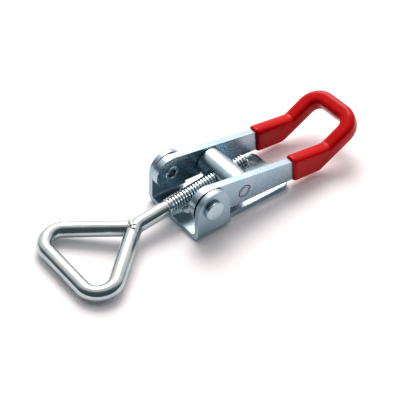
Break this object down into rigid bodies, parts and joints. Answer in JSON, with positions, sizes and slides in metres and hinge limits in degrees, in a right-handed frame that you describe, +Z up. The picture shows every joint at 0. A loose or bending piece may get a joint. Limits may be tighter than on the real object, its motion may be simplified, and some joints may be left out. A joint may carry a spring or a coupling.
{
  "type": "latch toggle clamp",
  "caption": "Pull-action toggle clamp with a triangular latch bow on a threaded rod, a U-shaped handle with a red dipped grip and a folded sheet base.",
  "frame": {"origin": "centre of the front screw hole on the underside of the base", "axes": "+X runs towards the grip, along the pull on the latch bow; +Z points up from the mounting surface; -Y is the right-hand side seen from the grip"},
  "size_m": [0.1108, 0.034, 0.0169],
  "materials": {
    "plated_sheet": "satin",
    "plated_strip": "satin",
    "plated_rod": "polished",
    "plated_nut": "satin",
    "plated_rivet": "satin",
    "weld_bead": "satin",
    "red_dip": "gloss"
  },
  "bodies": {
    "base": {"base": "plated_sheet", "pivot_rivet_right": "plated_rivet", "pivot_rivet_left": "plated_rivet"},
    "handle": {"handle": "plated_strip", "grip": "red_dip"},
    "nut": {"cross_nut": "plated_nut"},
    "bolt": {"latch_bolt": "plated_rod", "bow_weld": "weld_bead"}
  },
  "joints": [
    {"name": "handle_pivot", "type": "hinge", "parent": "base", "child": "handle", "pos_m": [-0.0012, 0, 0.0112], "axis": [0, -1, 0], "range_deg": [0, 150]},
    {"name": "nut_swing", "type": "hinge", "parent": "handle", "child": "nut", "pos_m": [0.0132, 0, 0.00917], "axis": [0, -1, 0], "range_deg": [-150, 0]},
    {"name": "reach_adjust", "type": "slide", "parent": "nut", "child": "bolt", "axis": [0.9936, 0, 0.1129], "range_m": [-0.0035, 0.015]}
  ],
  "couplings": [
    {"joint": "nut_swing", "follows": "handle_pivot", "ratio": -1}
  ]
}
